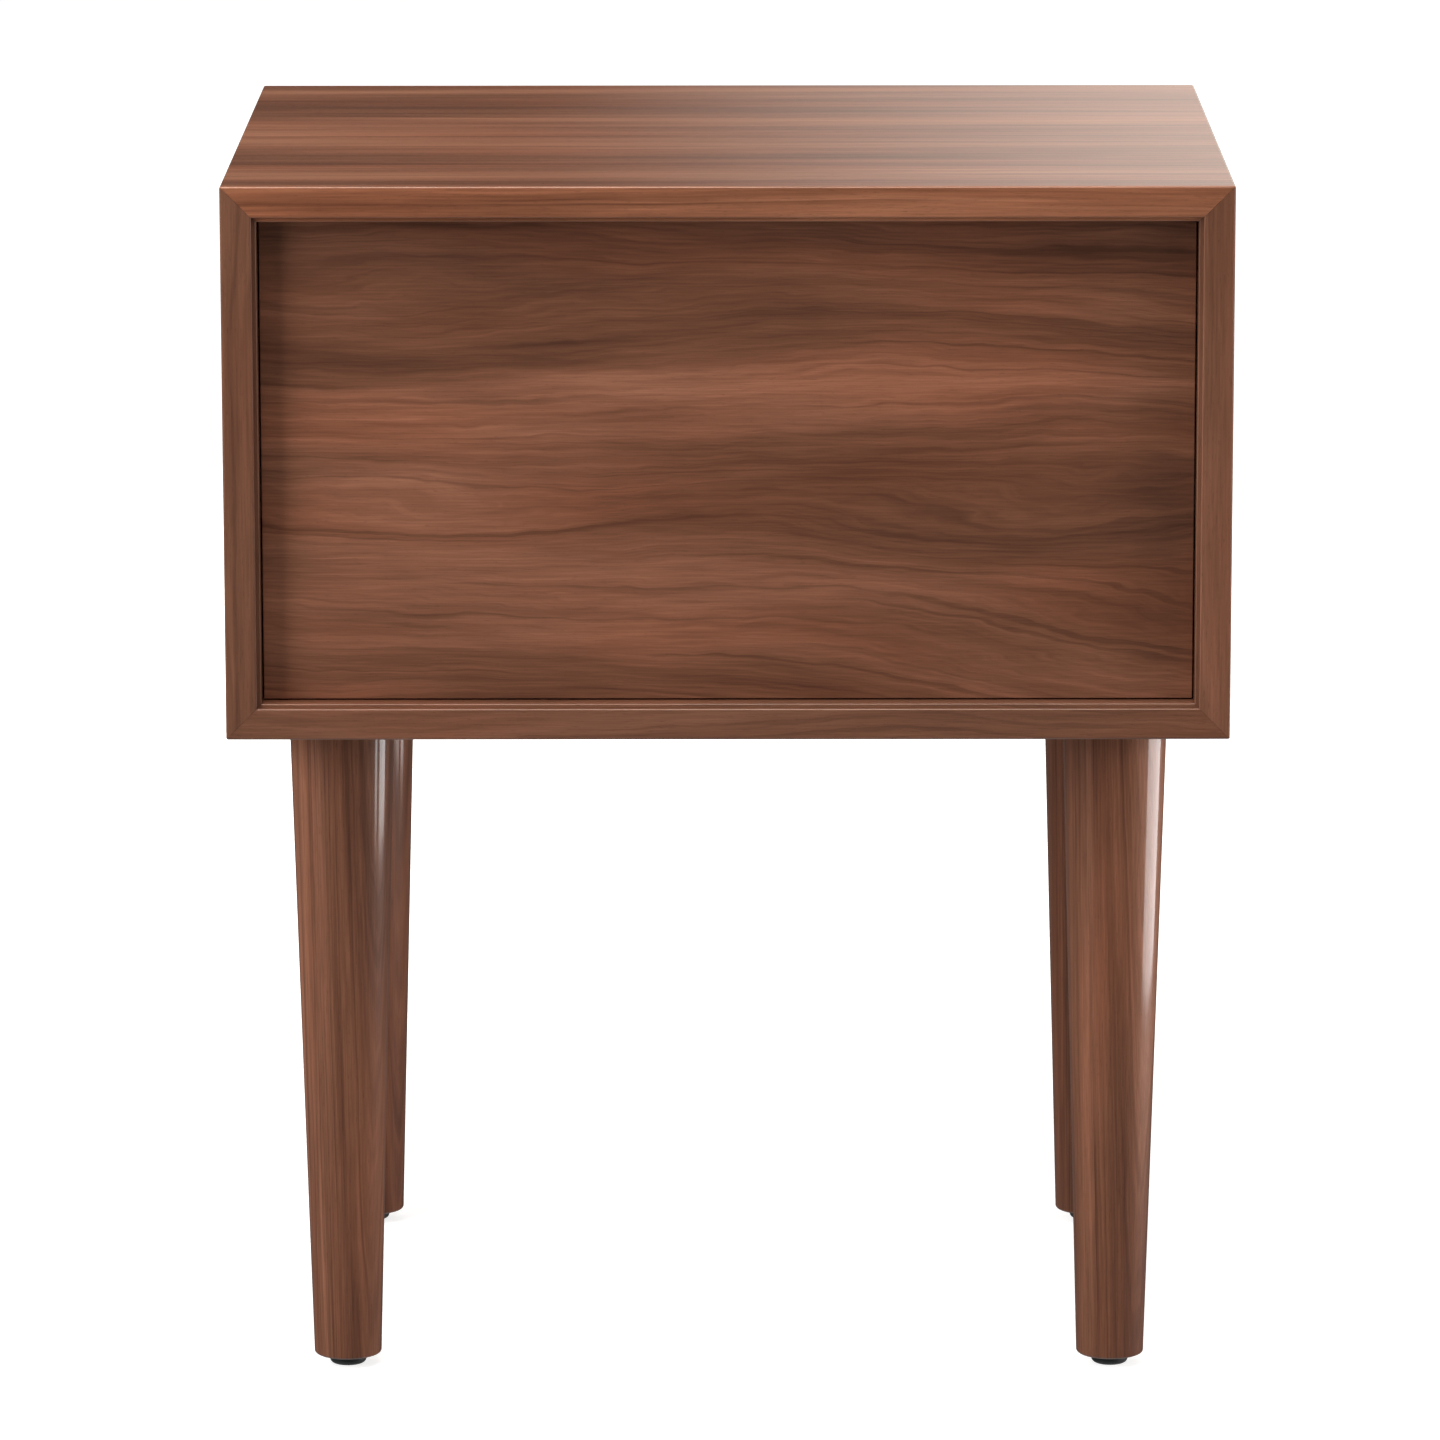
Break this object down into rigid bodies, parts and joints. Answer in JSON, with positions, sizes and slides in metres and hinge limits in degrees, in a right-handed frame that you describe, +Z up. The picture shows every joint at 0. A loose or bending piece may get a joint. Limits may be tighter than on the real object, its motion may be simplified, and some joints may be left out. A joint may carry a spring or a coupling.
{
  "type": "side table with drawer",
  "caption": "Rectangular side table: a mitred box holding an inset, handle-less push-to-open drawer on telescopic slides, standing on round tapered legs with small glides.",
  "frame": {"origin": "on the floor, at the middle of the table's width and depth", "axes": "+Z up; the drawer front faces -Y; +X is the right-hand side seen from the front"},
  "size_m": [0.508, 0.406, 0.6235],
  "materials": {
    "walnut_top": "walnut veneer, straight grain, satin lacquer",
    "walnut_carcass": "walnut veneer, satin lacquer",
    "walnut_front": "figured walnut veneer, horizontal grain, satin lacquer",
    "walnut_leg": "turned walnut, satin lacquer",
    "drawer_wood": "clear-lacquered pale hardwood and plywood",
    "zinc_steel": "bright zinc plate",
    "black_screw": "black phosphate",
    "black_glide": "moulded, matt",
    "grey_plastic": "moulded, fine texture",
    "rubber_tip": "matt"
  },
  "bodies": {
    "table": {"top_panel": "walnut_top", "bottom_panel": "walnut_carcass", "left_side_panel": "walnut_carcass", "right_side_panel": "walnut_carcass", "mitre_splines": "drawer_wood", "back_panel": "walnut_front", "back_panel_screws": "black_screw", "front_left_leg": "walnut_leg", "front_right_leg": "walnut_leg", "rear_left_leg": "walnut_leg", "rear_right_leg": "walnut_leg", "front_left_glide": "black_glide", "front_right_glide": "black_glide", "rear_left_glide": "black_glide", "rear_right_glide": "black_glide", "leg_hanger_bolts": "zinc_steel", "leg_insert_nuts": "zinc_steel", "glide_nails": "zinc_steel", "left_slide_cabinet_member": "zinc_steel", "right_slide_cabinet_member": "zinc_steel", "slide_cabinet_screws": "zinc_steel", "push_latch_housing": "grey_plastic", "push_latch_holder": "grey_plastic", "push_latch_spring": "zinc_steel", "push_latch_screws": "zinc_steel"},
    "drawer": {"drawer_front": "walnut_front", "drawer_front_screws": "zinc_steel", "drawer_right_side": "drawer_wood", "drawer_left_side": "drawer_wood", "drawer_box_front": "drawer_wood", "drawer_box_back": "drawer_wood", "drawer_bottom": "drawer_wood", "drawer_dowels": "drawer_wood", "left_slide_drawer_member": "zinc_steel", "right_slide_drawer_member": "zinc_steel", "slide_drawer_screws": "zinc_steel", "strike_plate": "zinc_steel", "strike_plate_screw": "zinc_steel"},
    "latch_plunger": {"push_latch_plunger": "grey_plastic", "push_latch_tip": "rubber_tip"},
    "left_middle_member": {"left_slide_middle_member": "zinc_steel"},
    "left_outer_cage": {"left_outer_ball_cage": "zinc_steel", "left_outer_balls": "zinc_steel"},
    "left_inner_cage": {"left_inner_ball_cage": "zinc_steel", "left_inner_balls": "zinc_steel"},
    "right_middle_member": {"right_slide_middle_member": "zinc_steel"},
    "right_outer_cage": {"right_outer_ball_cage": "zinc_steel", "right_outer_balls": "zinc_steel"},
    "right_inner_cage": {"right_inner_ball_cage": "zinc_steel", "right_inner_balls": "zinc_steel"}
  },
  "joints": [
    {"name": "drawer_slide", "type": "slide", "parent": "table", "child": "drawer", "axis": [0, -1, 0], "range_m": [-0.003, 0.3]},
    {"name": "left_middle_member_slide", "type": "slide", "parent": "table", "child": "left_middle_member", "axis": [0, -1, 0], "range_m": [-0.0016, 0.1501]},
    {"name": "left_outer_cage_slide", "type": "slide", "parent": "table", "child": "left_outer_cage", "axis": [0, -1, 0], "range_m": [-0.00085, 0.0751]},
    {"name": "left_inner_cage_slide", "type": "slide", "parent": "table", "child": "left_inner_cage", "axis": [0, -1, 0], "range_m": [-0.00235, 0.2251]},
    {"name": "right_middle_member_slide", "type": "slide", "parent": "table", "child": "right_middle_member", "axis": [0, -1, 0], "range_m": [-0.0016, 0.1501]},
    {"name": "right_outer_cage_slide", "type": "slide", "parent": "table", "child": "right_outer_cage", "axis": [0, -1, 0], "range_m": [-0.00085, 0.0751]},
    {"name": "right_inner_cage_slide", "type": "slide", "parent": "table", "child": "right_inner_cage", "axis": [0, -1, 0], "range_m": [-0.00235, 0.2251]},
    {"name": "latch_plunger_slide", "type": "slide", "parent": "table", "child": "latch_plunger", "axis": [0, -1, 0], "range_m": [-0.0003, 0.0201], "deforming": ["push_latch_spring"]}
  ],
  "couplings": [
    {"joint": "left_middle_member_slide", "follows": "drawer_slide", "ratio": 0.5},
    {"joint": "left_outer_cage_slide", "follows": "drawer_slide", "ratio": 0.25},
    {"joint": "left_inner_cage_slide", "follows": "drawer_slide", "ratio": 0.75},
    {"joint": "right_middle_member_slide", "follows": "drawer_slide", "ratio": 0.5},
    {"joint": "right_outer_cage_slide", "follows": "drawer_slide", "ratio": 0.25},
    {"joint": "right_inner_cage_slide", "follows": "drawer_slide", "ratio": 0.75},
    {"joint": "latch_plunger_slide", "follows": "drawer_slide", "ratio": 0.066667}
  ]
}
